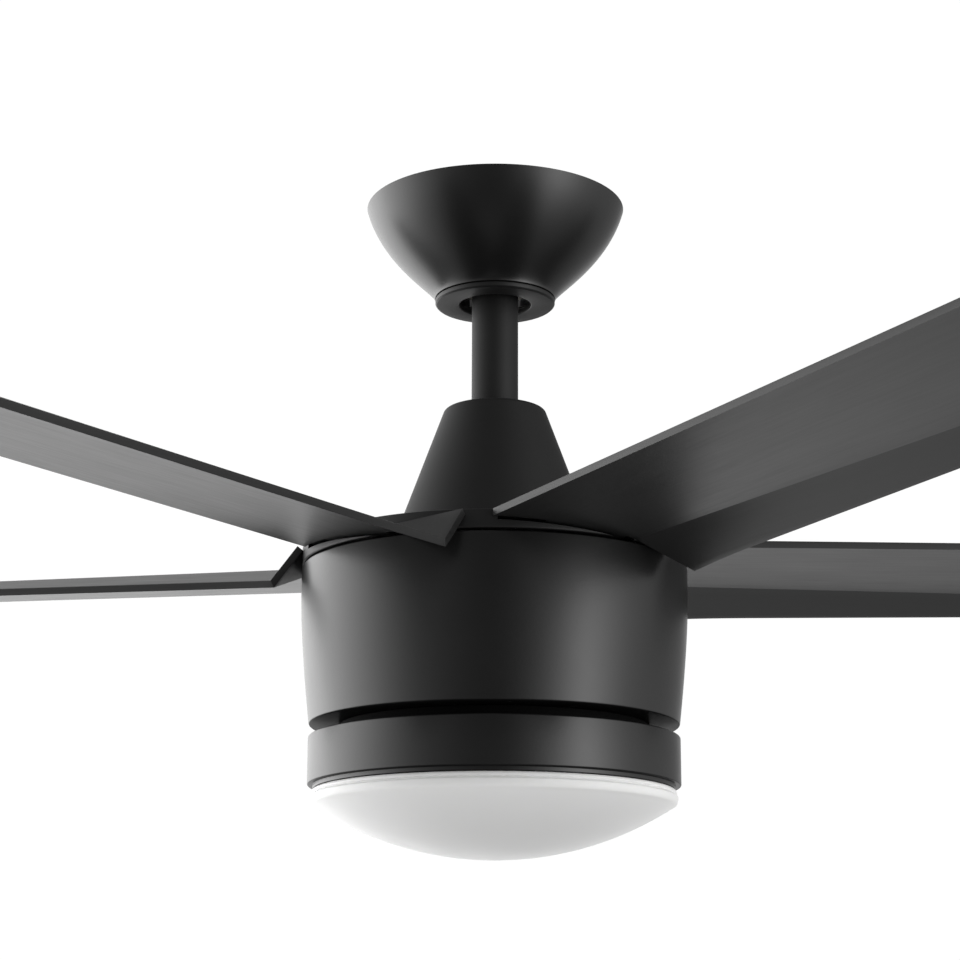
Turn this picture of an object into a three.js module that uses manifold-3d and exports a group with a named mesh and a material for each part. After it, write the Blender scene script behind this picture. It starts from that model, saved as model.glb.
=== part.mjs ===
// Ceiling fan with a light: five folded blades on a drum-shaped motor, hung on a downrod under a
// domed canopy, with an opal bowl below. Millimetres, +Z up. The origin is the middle of the
// ceiling plane, on the fan's axis, and everything hangs below it.
import * as THREE from "three";
import { mergeVertices } from "three/addons/utils/BufferGeometryUtils.js";
import Module from "manifold-3d";

const wasm = await Module();
wasm.setup();

// ---- driving dimensions -----------------------------------------------------------------------

const GAP = 0.3; // clearance that keeps neighbouring pieces apart
const ROUND = 40; // sides of a large round
const SMALL = 20; // sides of a small one
const FINE = 12; // sides of a pin, a screw head or the hole it fills
const TINY = 8; // sides of a screw's shank
const BLADES = 5;
const SPAN_RADIUS = 660; // blade tip circle, the 52 inch class
const FIRST_BLADE_DEG = -58.6; // heading of blade_1 about +Z

// The canopy's dome is one curve from the rim to the neck, drawn towards two points.
const CANOPY = {
  rim: 73.1,
  shoulder: { r: 64, z: -30.7 },
  waist: { r: 34.5, z: -46.5 },
  neck: 34.2,
  floor: -53,
  wall: 1.5,
};
const COLLAR = { radius: 33.8, bore: 20.3, top: -53.3, bottom: -56.6, chamfer: 0.9, ease: 0.7 };
const PIVOT_Z = -33; // centre of the hanger ball, and so the point the fan swings about
const BALL = { radius: 24, top: -20, bottom: -50 };
const SEAT_CLEARANCE = 0.9; // room round the ball in its cradle, so that it swings freely
const ROD = { radius: 13.05, bore: 10.9, top: -14, bottom: -148 };
const YOKE = { radius: 18.5, top: -120.2, seat: -150, bottom: -166 };
const CONE = {
  top: -118.3,
  bottom: -196,
  topRadius: 28,
  bottomRadius: 56.5,
  fillet: 3,
  hole: 13.9,
  wall: 1.6,
};
const SHAFT = { radius: 8.5, bore: 6, top: -152, bottom: -301.5 };
const HUB = { radius: 105.5, top: -199.4, bottom: -209.3, plate: 1.6, rim: 3, hole: 30 };
const CASE = { radius: 88, top: -212.3, split: -240, bottom: -268, wall: 2.2 };
const STATOR = { top: -229.5, bottom: -250.5, yoke: 26, tooth: 70, tip: 76, teeth: 12, toothWidth: 9 };
const MAGNET = { outer: 85.5, inner: 78, top: -222, bottom: -258 };
const BEARING = { radius: 15, height: 8, wall: 4 };
const HOUSING = { topRadius: 105.6, bottomRadius: 100.3, top: -210.6, bottom: -296, edge: 1.2, wall: 2 };
const NECK = { radius: 84, inner: 72, top: -296.3, bottom: -302.4, screwCircle: 78 };
const BAND = { radius: 100.4, lip: 97.3, lipBore: 94.2, top: -302.7, step: -328.5, bottom: -330.8, wall: 3 };
const BOWL = {
  neck: 93.7,
  rim: 98.7,
  capRim: 96.4,
  top: -323,
  shoulder: -331.1,
  capZ: -339,
  bottom: -366.9,
  wall: 2.6,
};
const LOCK_DEG = 20; // twist between the bowl's locked and free positions
const LUG = { radius: 96.3, width: 22, notch: 26, thickness: 2.3, z: -326.6, angles: [30, 150, 270] };
const SPREADER = { radius: 90, bottom: -324.5, top: -322.4, post: 4, postCircle: 70 };
const BOARD = { radius: 88, bottom: -326.4, top: -324.8, chipRings: [38, 70], chip: 1.6, chipBottom: -327.1 };

// The blade in its own frame: u runs out along the blade, s towards the leading edge, z up.
// Each line of the folded sheet is straight, from the root at u = rootU to the tip at the span.
const BLADE = {
  rootU: 105,
  thickness: 3.9,
  lead: { root: [55.9, -199], tip: [51.4, -174.1] },
  crease: { root: [-23.4, -205.1], tip: [-45.7, -186.8] },
  trail: { root: [-56.9, -218], tip: [-54.9, -191] },
  flapTop: { u: 92.1, s: -57.6, z: -200 }, // where the root flap's end edge meets the hub's rim
  tipCorner: 18,
  tongueU: 62,
  tongueLead: 30,
  tongueTrail: -16,
  tongueEnd: 113,
  screwU: 74,
  screwS: [22, -8],
};

// ---- materials --------------------------------------------------------------------------------

const finish = (color, roughness, metalness) =>
  new THREE.MeshStandardMaterial({ color, roughness, metalness });
const BLACK_PAINT = finish(0x1c1c1d, 0.5, 0.3);
const BLACK_BLADE = finish(0x232324, 0.55, 0.0);
const OPAL = finish(0xf2f1ec, 0.35, 0.0);
const ZINC = finish(0xb9bcc0, 0.35, 0.9);
const STEEL = finish(0x8d9094, 0.3, 0.95);
const DARK_PLASTIC = finish(0x2b2b2d, 0.6, 0.0);
const COPPER = finish(0xb06a3b, 0.4, 0.8);
const MAGNET_GREY = finish(0x4a4a4e, 0.5, 0.6);
const ALUMINIUM = finish(0xc9ccd0, 0.4, 0.9);
const BOARD_WHITE = finish(0xe9ece9, 0.5, 0.0);
const NYLON = finish(0xd9d7cf, 0.5, 0.0);

// ---- solids -----------------------------------------------------------------------------------

// A closed three.js geometry as a manifold solid, facing out whichever way its outline ran.
function solid(geometry) {
  const bare = new THREE.BufferGeometry().setAttribute("position", geometry.getAttribute("position"));
  if (geometry.index) bare.setIndex(geometry.index);
  const merged = mergeVertices(bare, 1e-3);
  const index = merged.index.array;
  const triangles = [];
  for (let i = 0; i < index.length; i += 3) {
    const [a, b, c] = [index[i], index[i + 1], index[i + 2]];
    if (a !== b && b !== c && c !== a) triangles.push(a, b, c);
  }
  const vertProperties = merged.attributes.position.array;
  const make = (list) =>
    new wasm.Manifold(new wasm.Mesh({ numProp: 3, vertProperties, triVerts: new Uint32Array(list) }));
  const made = make(triangles);
  return made.volume() >= 0 ? made : make(triangles.reverse());
}

const join = (first, ...rest) => rest.reduce((sum, next) => sum.add(next), first);
const cut = (first, ...rest) => rest.reduce((left, tool) => left.subtract(tool), first);

// A closed outline of radius and height, turned about Z. Curves in it are split into `steps`.
function revolve(outline, sides = ROUND, steps = 2) {
  outline.closePath();
  return solid(new THREE.LatheGeometry(outline.getPoints(steps), sides).rotateX(Math.PI / 2));
}

// A round bar or tube on the axis through (x, y), from z0 to z1.
function tube(radius, bore, z0, z1, { sides = SMALL, x = 0, y = 0 } = {}) {
  const bar = (r, low, high) =>
    solid(
      new THREE.CylinderGeometry(r, r, high - low, sides)
        .rotateX(Math.PI / 2)
        .translate(x, y, (low + high) / 2),
    );
  const [low, high] = [Math.min(z0, z1), Math.max(z0, z1)];
  return bore > 0 ? cut(bar(radius, low, high), bar(bore, low - 1, high + 1)) : bar(radius, low, high);
}

// A round bar lying along X, centred on (x, 0, z).
function crossBar(radius, length, x, z) {
  const bar = new THREE.CylinderGeometry(radius, radius, length, FINE);
  return solid(bar.rotateZ(Math.PI / 2).translate(x, 0, z));
}

// A box between two corners.
function block(x0, x1, y0, y1, z0, z1) {
  return solid(
    new THREE.BoxGeometry(x1 - x0, y1 - y0, z1 - z0).translate((x0 + x1) / 2, (y0 + y1) / 2, (z0 + z1) / 2),
  );
}

// A box centred across X.
const slab = ({ half, back, front, bottom, top }) => block(-half, half, back, front, bottom, top);

const ball = (radius, z) =>
  solid(new THREE.SphereGeometry(radius, SMALL, FINE).rotateX(Math.PI / 2).translate(0, 0, z));
const turned = (piece, degrees) => piece.rotate([0, 0, degrees]);

// A pan-head screw whose head's seat is at z; `up` screws enter upwards, the others downwards.
function screw(x, y, z, { head = 3.2, headHeight = 2, shank = 1.8, length = 8, up = false } = {}) {
  const way = up ? 1 : -1;
  const top = z - way * headHeight;
  const slot = { halfLength: head * 0.6, halfWidth: 0.4, depth: 0.6 };
  const body = join(
    tube(head, 0, top, z, { sides: FINE, x, y }),
    tube(shank, 0, z - way * 0.1, z + way * length, { sides: TINY, x, y }),
  );
  const along = [x - slot.halfLength, x + slot.halfLength];
  const across = [y - slot.halfWidth, y + slot.halfWidth];
  return cut(body, block(...along, ...across, top - slot.depth, top + slot.depth));
}

// A bent sheet: flat facets that share points, given a thickness below their upper faces.
// Each point moves down so that every facet it belongs to keeps the full thickness.
function bentSheet(points, facets, outline, thickness) {
  const normals = facets.map(([a, b, c]) => {
    const normal = points[b].clone().sub(points[a]).cross(points[c].clone().sub(points[a])).normalize();
    return normal.z < 0 ? normal.negate() : normal;
  });
  const lowered = points.map((point, i) => {
    const planes = normals.filter((_, k) => facets[k].includes(i));
    const shift = new THREE.Vector3();
    for (let pass = 0; pass < 400; pass++)
      for (const normal of planes) shift.addScaledVector(normal, -thickness - shift.dot(normal));
    return point.clone().add(shift);
  });
  const count = points.length;
  const corners = [];
  for (const facet of facets)
    for (let i = 1; i + 1 < facet.length; i++) {
      corners.push(facet[0], facet[i], facet[i + 1]);
      corners.push(facet[0] + count, facet[i + 1] + count, facet[i] + count);
    }
  outline.forEach((a, i) => {
    const b = outline[(i + 1) % outline.length];
    corners.push(a, b + count, b, a, a + count, b + count);
  });
  return solid(new THREE.BufferGeometry().setFromPoints([...points, ...lowered]).setIndex(corners));
}

// ---- the fan ----------------------------------------------------------------------------------

const fan = new THREE.Group();

function add(name, shape, material) {
  const mesh = shape.getMesh();
  const geometry = new THREE.BufferGeometry();
  geometry.setAttribute("position", new THREE.BufferAttribute(new Float32Array(mesh.vertProperties), 3));
  geometry.setIndex(new THREE.BufferAttribute(new Uint32Array(mesh.triVerts), 1));
  geometry.computeVertexNormals();
  const node = new THREE.Mesh(geometry, material);
  node.name = name;
  fan.add(node);
}

// The ceiling bracket: a round plate, two arms and a C-shaped cradle that the hanger ball sits in.
function buildCeilingBracket() {
  const plate = { radius: 52, thickness: 2.5 };
  const arm = { inner: 28, outer: 30.5, halfWidth: 12 };
  const cradle = { top: -44, bottom: -49 };
  const boxScrew = { x: 44.45, hole: 2.6 }; // half of the outlet box's 88.9 mm screw spacing
  const canopyScrew = { x: 26.5, hole: 2.1 };
  const wireHole = { radius: 9, y: 30 };
  const key = { half: 3, tip: -21.5, low: PIVOT_Z - 7, high: PIVOT_Z + 3 }; // stops the ball turning
  const screwSides = [-1, 1];
  const armAt = (side) => {
    const faces = [side * arm.inner, side * arm.outer];
    return block(Math.min(...faces), Math.max(...faces), -arm.halfWidth, arm.halfWidth, cradle.bottom, -1);
  };
  const frame = join(
    tube(plate.radius, 0, -plate.thickness, 0, { sides: ROUND }),
    tube(arm.outer, 0, cradle.bottom, cradle.top, { sides: ROUND }),
    ...screwSides.map(armAt),
    block(-key.half, key.half, -arm.outer, -BALL.radius - 0.6, cradle.bottom, key.high),
    block(-key.half, key.half, -BALL.radius - 1, key.tip, key.low, key.high),
  );
  const roomForKey = block(-key.half - 0.2, key.half + 0.2, -40, key.tip + 0.5, key.low - 1, key.high + 1);
  const seat = cut(ball(BALL.radius + SEAT_CLEARANCE, PIVOT_Z), roomForKey);
  const bracket = cut(
    frame,
    seat,
    block(-ROD.radius - 1.5, ROD.radius + 1.5, 0, 40, cradle.bottom - 1, cradle.top + 1),
    tube(wireHole.radius, 0, -4, 1, { y: wireHole.y }),
    ...screwSides.map((side) => tube(boxScrew.hole, 0, -4, 1, { sides: FINE, x: side * boxScrew.x })),
    ...screwSides.map((side) =>
      tube(canopyScrew.hole, 0, cradle.bottom - 1, cradle.top + 1, { sides: FINE, x: side * canopyScrew.x }),
    ),
  );
  add("mounting_bracket", bracket, ZINC);

  const { rim, shoulder, waist, neck, floor, wall } = CANOPY;
  const inset = wall * 0.8;
  const inner = [waist, shoulder].map(({ r, z }) => [r - inset, z + inset]).flat();
  const opening = COLLAR.bore + 1.2;
  const shell = new THREE.Path();
  shell.moveTo(rim, 0);
  shell.bezierCurveTo(shoulder.r, shoulder.z, waist.r, waist.z, neck, floor);
  shell.lineTo(opening, floor);
  shell.lineTo(opening, floor + wall);
  shell.lineTo(neck - wall, floor + wall);
  shell.bezierCurveTo(...inner, rim - wall, 0);
  const screwHoles = screwSides.map((side) =>
    tube(canopyScrew.hole, 0, floor - 1, floor + 3, { sides: FINE, x: side * canopyScrew.x }),
  );
  add("canopy", cut(revolve(shell, ROUND, 9), ...screwHoles), BLACK_PAINT);

  const collar = revolve(
    new THREE.Path([
      new THREE.Vector2(COLLAR.bore, COLLAR.bottom + COLLAR.ease),
      new THREE.Vector2(COLLAR.bore + COLLAR.ease, COLLAR.bottom),
      new THREE.Vector2(COLLAR.radius - COLLAR.chamfer, COLLAR.bottom),
      new THREE.Vector2(COLLAR.radius, COLLAR.bottom + COLLAR.chamfer),
      new THREE.Vector2(COLLAR.radius, COLLAR.top),
      new THREE.Vector2(COLLAR.bore, COLLAR.top),
    ]),
  );
  const groove = { outer: canopyScrew.x + 3.9, inner: canopyScrew.x - 3.9 }; // room for the screw heads
  const screwRoom = tube(groove.outer, groove.inner, COLLAR.bottom + 0.8, COLLAR.top + 1);
  add("canopy_ring", cut(collar, screwRoom), BLACK_PAINT);

  const boxFixing = { head: 4.2, headHeight: 2.6, shank: 2.2, length: 2.7, up: true };
  const canopyFixing = { head: 3, headHeight: 1.6, length: 7.5, up: true };
  screwSides.forEach((side, i) => {
    add(`ceiling_screw_${i + 1}`, screw(side * boxScrew.x, 0, -plate.thickness - GAP, boxFixing), STEEL);
    add(`canopy_screw_${i + 1}`, screw(side * canopyScrew.x, 0, floor - GAP, canopyFixing), STEEL);
  });
  const receiver = { half: 22, back: -54, front: -34, bottom: -20, top: -plate.thickness - GAP };
  const socket = { half: 6, back: -34.5, front: -30, bottom: -14, top: -7 };
  add("remote_receiver", join(slab(receiver), slab(socket)), DARK_PLASTIC);
}

// The swinging column: ball, rod, lead, yoke and the cone that covers the yoke.
function buildDownrod() {
  const pin = { radius: 2.5, hole: 2.9, ballZ: PIVOT_Z - 4, yokeZ: -136 };
  const ballScrew = { radius: 1.7, hole: 2, y: 17.5 };
  const lead = { radius: 2.4, rodY: 6.2, shaftY: 2.2 };
  const pinHole = (z) => crossBar(pin.hole, 80, 0, z);

  const hangerBall = cut(
    ball(BALL.radius, PIVOT_Z),
    block(-30, 30, -30, 30, BALL.top, 0),
    block(-30, 30, -30, 30, -70, BALL.bottom),
    tube(ROD.radius + GAP, 0, -80, 0),
    block(-4, 4, -30, -19, -70, 0), // the slot that keeps the ball from turning
    pinHole(pin.ballZ),
    tube(ballScrew.hole, 0, PIVOT_Z, 0, { sides: FINE, y: ballScrew.y }),
  );
  add("hanger_ball", hangerBall, NYLON);
  const setScrew = tube(ballScrew.radius, 0, PIVOT_Z + 1, BALL.top + 0.5, { sides: FINE, y: ballScrew.y });
  add("ball_pin", crossBar(pin.radius, 43, 0, pin.ballZ), STEEL);
  add("ball_set_screw", setScrew, STEEL);
  const rod = tube(ROD.radius, ROD.bore, ROD.bottom, ROD.top);
  add("downrod", cut(rod, pinHole(pin.ballZ), pinHole(pin.yokeZ)), BLACK_PAINT);

  const route = new THREE.CatmullRomCurve3([
    new THREE.Vector3(0, lead.rodY, ROD.top + 0.8),
    new THREE.Vector3(0, lead.rodY, -80),
    new THREE.Vector3(0, lead.rodY, pin.yokeZ - 1),
    new THREE.Vector3(0, lead.shaftY, SHAFT.top + 2),
    new THREE.Vector3(0, lead.shaftY, -230),
    new THREE.Vector3(0, lead.shaftY, BAND.top - 2.6),
  ]);
  const section = new THREE.Shape().absarc(0, 0, lead.radius, 0, Math.PI * 2);
  const cable = new THREE.ExtrudeGeometry(section, { steps: 24, curveSegments: 3, extrudePath: route });
  const plug = { half: 6, back: lead.rodY - 4.5, front: lead.rodY + 4.5, bottom: ROD.top + 1.1, top: -6 };
  add("motor_lead", solid(cable), DARK_PLASTIC);
  add("lead_plug", slab(plug), NYLON);

  const flange = { width: 3, height: 6 };
  const clip = { radius: 4.4, hole: 2.8, x: -20.3 };
  const clamp = { radius: 2, hole: 2.4, x: 16.9, z: -143.5 };
  const yoke = cut(
    join(
      tube(YOKE.radius, 0, YOKE.bottom, YOKE.top),
      tube(YOKE.radius + flange.width, 0, YOKE.bottom, YOKE.bottom + flange.height),
    ),
    tube(ROD.radius + GAP, 0, YOKE.seat, 0),
    tube(SHAFT.radius + GAP, 0, YOKE.bottom - 1, YOKE.seat + 1),
    pinHole(pin.yokeZ),
    ...[-1, 1].map((side) => crossBar(clamp.hole, 12, side * clamp.x, clamp.z)),
  );
  const headedPin = join(crossBar(pin.radius, 44, 1, pin.yokeZ), crossBar(4, 2, 22, pin.yokeZ));
  const ring = cut(crossBar(clip.radius, 1, clip.x, pin.yokeZ), crossBar(clip.hole, 4, clip.x, pin.yokeZ));
  add("yoke", yoke, ZINC);
  add("yoke_pin", headedPin, STEEL);
  add("yoke_pin_clip", ring, STEEL);
  [-1, 1].forEach((side, i) => {
    add(`yoke_set_screw_${i + 1}`, crossBar(clamp.radius, 7, side * clamp.x, clamp.z), STEEL);
  });

  const { top, bottom, topRadius, bottomRadius, fillet, hole, wall } = CONE;
  const slope = (bottomRadius - topRadius) / (top - bottom);
  const innerBend = top - wall - fillet;
  const cone = new THREE.Path();
  cone.moveTo(hole, top);
  cone.lineTo(topRadius - fillet, top);
  cone.quadraticCurveTo(topRadius, top, topRadius + slope * fillet, top - fillet);
  cone.lineTo(bottomRadius, bottom);
  cone.lineTo(bottomRadius - wall, bottom);
  cone.lineTo(topRadius + slope * (top - innerBend) - wall, innerBend);
  cone.lineTo(topRadius - wall - fillet, top - wall);
  cone.lineTo(hole, top - wall);
  add("coupling_cover", revolve(cone), BLACK_PAINT);
}

// The motor that stands still: hollow shaft, laminated core and its moulded windings.
function buildStator() {
  const { top, bottom, yoke, tooth, tip, toothWidth } = STATOR;
  const toothAngle = 360 / STATOR.teeth;
  const around = (shape, offset = 0) =>
    Array.from({ length: STATOR.teeth }, (_, i) => turned(shape, (i + offset) * toothAngle));
  const teeth = (half, reach, margin) =>
    around(block(yoke - 4, reach, -half - margin, half + margin, bottom - margin, top + margin));
  const slotHalf = 2.5;
  const slots = around(block(tooth - 2, tip + 2, -slotHalf, slotHalf, bottom - 1, top + 1), 0.5);
  const core = join(
    tube(yoke, 0, bottom, top),
    tube(tip, tooth, bottom, top, { sides: ROUND }),
    ...teeth(toothWidth / 2, tooth + 1, 0),
  );
  const shaftRoom = tube(SHAFT.radius + GAP, 0, bottom - 1, top + 1);
  const coils = tube(tooth - 3, yoke + 3, bottom - 8, top + 7);
  add("motor_shaft", tube(SHAFT.radius, SHAFT.bore, SHAFT.bottom, SHAFT.top), STEEL);
  add("stator_core", cut(core, shaftRoom, ...slots), STEEL);
  add("stator_windings", cut(coils, ...teeth(toothWidth / 2, tooth, GAP)), COPPER);
}

// The three places of the screws that tie the housing, the neck and the light ring together.
const atThree = (make) => [90, 210, 330].map((a) => turned(make(), a));
const neckScrewHoles = () =>
  atThree(() => tube(2.2, 0, BAND.top - 4, HOUSING.bottom + 4, { sides: FINE, x: NECK.screwCircle }));

// The housing that hangs still on the shaft's lower end, with the neck and its fixings.
function buildHousing() {
  const { topRadius, bottomRadius, top, bottom, edge, wall } = HOUSING;
  const straight = top - 14;
  const bend = top - 38;
  const shaftHole = SHAFT.radius + GAP;
  const outline = new THREE.Path();
  outline.moveTo(topRadius - 0.6, top);
  outline.lineTo(topRadius, top - 0.8);
  outline.lineTo(topRadius, straight);
  outline.quadraticCurveTo(topRadius, bend, bottomRadius, bottom + edge);
  outline.lineTo(bottomRadius - edge, bottom);
  outline.lineTo(shaftHole, bottom);
  outline.lineTo(shaftHole, bottom + wall);
  outline.lineTo(bottomRadius - wall, bottom + wall);
  outline.quadraticCurveTo(topRadius - wall, bend, topRadius - wall, straight);
  outline.lineTo(topRadius - wall, top);
  add("motor_housing", cut(revolve(outline, ROUND, 4), ...neckScrewHoles()), BLACK_PAINT);

  const neck = tube(NECK.radius, NECK.inner, NECK.bottom, NECK.top, { sides: ROUND });
  add("housing_neck", cut(neck, ...neckScrewHoles()), BLACK_PAINT);
  atThree(() => screw(NECK.screwCircle, 0, bottom + wall + GAP, { length: 11.5 })).forEach((shape, i) => {
    add(`housing_screw_${i + 1}`, shape, STEEL);
  });
  const nut = { radius: 14, height: 4.6, sides: 6, top: bottom - GAP };
  const hexagon = tube(nut.radius, 0, nut.top - nut.height, nut.top, { sides: nut.sides });
  add("shaft_nut", cut(hexagon, tube(shaftHole, 0, nut.top - 10, nut.top + 1)), ZINC);
}

// The light: a band with a bayonet lip, the driver, the heat spreader, the LED board and the bowl.
function buildLight() {
  const { radius, lip, lipBore, top, step, bottom, wall } = BAND;
  const leadHole = 11;
  const plate = 2.2;
  const edge = 0.8;
  const bandOutline = new THREE.Path([
    new THREE.Vector2(leadHole, top),
    new THREE.Vector2(radius - edge, top),
    new THREE.Vector2(radius, top - edge),
    new THREE.Vector2(radius, step + edge),
    new THREE.Vector2(radius - edge, step),
    new THREE.Vector2(lip, step),
    new THREE.Vector2(lip, bottom),
    new THREE.Vector2(lipBore, bottom),
    new THREE.Vector2(lipBore, step),
    new THREE.Vector2(radius - wall, step + 0.6),
    new THREE.Vector2(radius - wall, top - plate),
    new THREE.Vector2(leadHole, top - plate),
  ]);
  const half = LUG.notch / 2;
  const path = tube(LUG.radius + GAP, lipBore - 6, bottom - 1, step + 2, { sides: 72 });
  const notch = path.intersect(block(0, lip, -half, half, bottom - 1, step + 2));
  const notches = LUG.angles.map((a) => turned(notch, a + LOCK_DEG));
  add("light_ring", cut(revolve(bandOutline), ...notches, ...neckScrewHoles()), BLACK_PAINT);

  const driverCase = { half: 48, back: -22, front: 22, bottom: -320.5, top: -307.4 };
  const driverPlug = { half: 6, back: -3.6, front: 8, bottom: driverCase.top - 0.5, top: -305.6 };
  add("led_driver", join(slab(driverCase), slab(driverPlug)), NYLON);

  const post = { sides: 16, x: SPREADER.postCircle };
  const posts = [0, 120, 240].map((a) =>
    turned(tube(SPREADER.post, 0, SPREADER.top - 0.1, top - plate - GAP, post), a),
  );
  const disc = tube(SPREADER.radius, 0, SPREADER.bottom, SPREADER.top, { sides: ROUND });
  add("heat_spreader", join(disc, ...posts), ALUMINIUM);

  const { chip, chipBottom } = BOARD;
  const chips = BOARD.chipRings.flatMap((circle, ring) => {
    const count = 8 * (ring + 1);
    const one = block(circle - chip, circle + chip, -chip, chip, chipBottom, BOARD.bottom + 0.2);
    return Array.from({ length: count }, (_, i) => turned(one, (360 * i) / count));
  });
  const board = tube(BOARD.radius, 0, BOARD.bottom, BOARD.top, { sides: ROUND });
  add("led_board", join(board, ...chips), BOARD_WHITE);

  const capRadius = (BOWL.capRim ** 2 + (BOWL.bottom - BOWL.capZ) ** 2) / (2 * (BOWL.capZ - BOWL.bottom));
  const capCentre = BOWL.bottom + capRadius;
  const capEdge = Math.asin(BOWL.capRim / capRadius);
  const innerRadius = capRadius - BOWL.wall;
  const innerRim = BOWL.capRim - BOWL.wall;
  const innerEdge = Math.asin(innerRim / innerRadius);
  const bowl = new THREE.Path();
  bowl.moveTo(BOWL.neck, BOWL.top);
  bowl.lineTo(BOWL.neck, BOWL.shoulder + 0.2);
  bowl.lineTo(BAND.lip, BOWL.shoulder);
  bowl.lineTo(BOWL.rim, BOWL.shoulder - 1.9);
  bowl.lineTo(BOWL.rim, BOWL.shoulder - 4.4);
  bowl.quadraticCurveTo(BOWL.rim, BOWL.capZ + 0.5, BOWL.capRim, BOWL.capZ);
  bowl.absarc(0, capCentre, capRadius, capEdge - Math.PI / 2, -Math.PI / 2, true);
  bowl.lineTo(0, BOWL.bottom + BOWL.wall);
  bowl.absarc(0, capCentre, innerRadius, -Math.PI / 2, innerEdge - Math.PI / 2, false);
  bowl.lineTo(BOWL.neck - BOWL.wall, BOWL.shoulder - 4);
  bowl.lineTo(BOWL.neck - BOWL.wall, BOWL.top);
  const far = 120;
  const lugHalf = LUG.width / 2;
  const lugDisc = new THREE.CylinderGeometry(LUG.radius, LUG.radius, LUG.thickness, 60);
  const lug = cut(
    solid(lugDisc.rotateX(Math.PI / 2).translate(0, 0, LUG.z)),
    tube(BOWL.neck - 0.6, 0, LUG.z - 3, LUG.z + 3, { sides: ROUND }),
    block(-far, far, lugHalf, far, LUG.z - 3, LUG.z + 3),
    block(-far, far, -far, -lugHalf, LUG.z - 3, LUG.z + 3),
    block(-far, 0, -far, far, LUG.z - 3, LUG.z + 3),
  );
  const lugs = LUG.angles.map((a) => turned(lug, a));
  add("diffuser_bowl", join(revolve(bowl), ...lugs), OPAL);
}

// ---- the rotor and its blades -----------------------------------------------------------------

// Places of the blade's three lines at a distance u, in the blade's own frame.
function bladeLine({ root, tip }, u) {
  const t = (u - BLADE.rootU) / (SPAN_RADIUS - BLADE.rootU);
  const between = (k) => THREE.MathUtils.lerp(root[k], tip[k], t);
  return new THREE.Vector3(u, -between(0), between(1));
}

// The root tongue lies in the plane of the wide leading facet and runs in under the hub's plate.
function tongue(margin) {
  const { lead, crease, tongueU, tongueEnd, tongueLead, tongueTrail, thickness } = BLADE;
  const a = bladeLine(lead, BLADE.rootU);
  const b = bladeLine(crease, BLADE.rootU);
  const c = bladeLine(lead, SPAN_RADIUS);
  const plane = new THREE.Plane().setFromCoplanarPoints(a, b, c);
  const at = (u, s) => {
    const z = -(plane.constant + plane.normal.x * u - plane.normal.y * s) / plane.normal.z;
    return new THREE.Vector3(u, -s, z + margin);
  };
  const corners = [
    at(tongueU - margin, tongueLead + margin),
    at(tongueU - margin, tongueTrail - margin),
    at(tongueEnd, tongueTrail - margin),
    at(tongueEnd, tongueLead + margin),
  ];
  return bentSheet(corners, [[0, 1, 2, 3]], [0, 1, 2, 3], thickness + 2 * margin);
}

const bladeScrewSpots = BLADE.screwS.map((s) => ({ sides: TINY, x: BLADE.screwU, y: -s }));
const bladeScrewHole = (spot) => tube(2.5, 0, -230, -190, spot);

function bladeShape() {
  const { lead, crease, trail, flapTop, thickness, tipCorner, rootU } = BLADE;
  const past = SPAN_RADIUS + 20;
  const points = [
    bladeLine(lead, rootU - 30),
    bladeLine(crease, rootU),
    new THREE.Vector3(flapTop.u, -flapTop.s, flapTop.z),
    bladeLine(trail, rootU),
    bladeLine(trail, past),
    bladeLine(crease, past),
    bladeLine(lead, past),
  ];
  const facets = [[0, 1, 5, 6], [1, 3, 4, 5], [1, 2, 3]];
  const sheet = bentSheet(points, facets, [0, 1, 2, 3, 4, 5, 6], thickness);

  const side = 70;
  const end = SPAN_RADIUS - 4; // the tip's corners then lie on the span circle
  const [front, back] = [-lead.tip[0], -trail.tip[0]];
  const backCorner = tipCorner / 2;
  const plan = new THREE.Shape();
  plan.moveTo(0, -side);
  plan.lineTo(end - tipCorner, -side);
  plan.lineTo(end - tipCorner, front);
  plan.quadraticCurveTo(end, front, end, front + tipCorner);
  plan.lineTo(end, back - backCorner);
  plan.quadraticCurveTo(end, back, end - backCorner, back);
  plan.lineTo(end - backCorner, side);
  plan.lineTo(0, side);
  plan.closePath();
  const window = new THREE.ExtrudeGeometry(plan, { depth: 200, bevelEnabled: false, curveSegments: 5 });
  const trimmed = cut(
    sheet.intersect(solid(window.translate(0, 0, -300))),
    tube(HUB.radius + GAP, 0, HUB.bottom - 0.4, -150, { sides: 72 }),
    tube(HOUSING.topRadius + 1.6, 0, -260, HUB.bottom - 0.3, { sides: 72 }),
  );
  return cut(join(trimmed, tongue(0)), ...bladeScrewSpots.map(bladeScrewHole));
}

const bladeHeading = (i) => FIRST_BLADE_DEG + (360 / BLADES) * i;
const aroundHub = (shape) => Array.from({ length: BLADES }, (_, i) => turned(shape, bladeHeading(i)));

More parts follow.
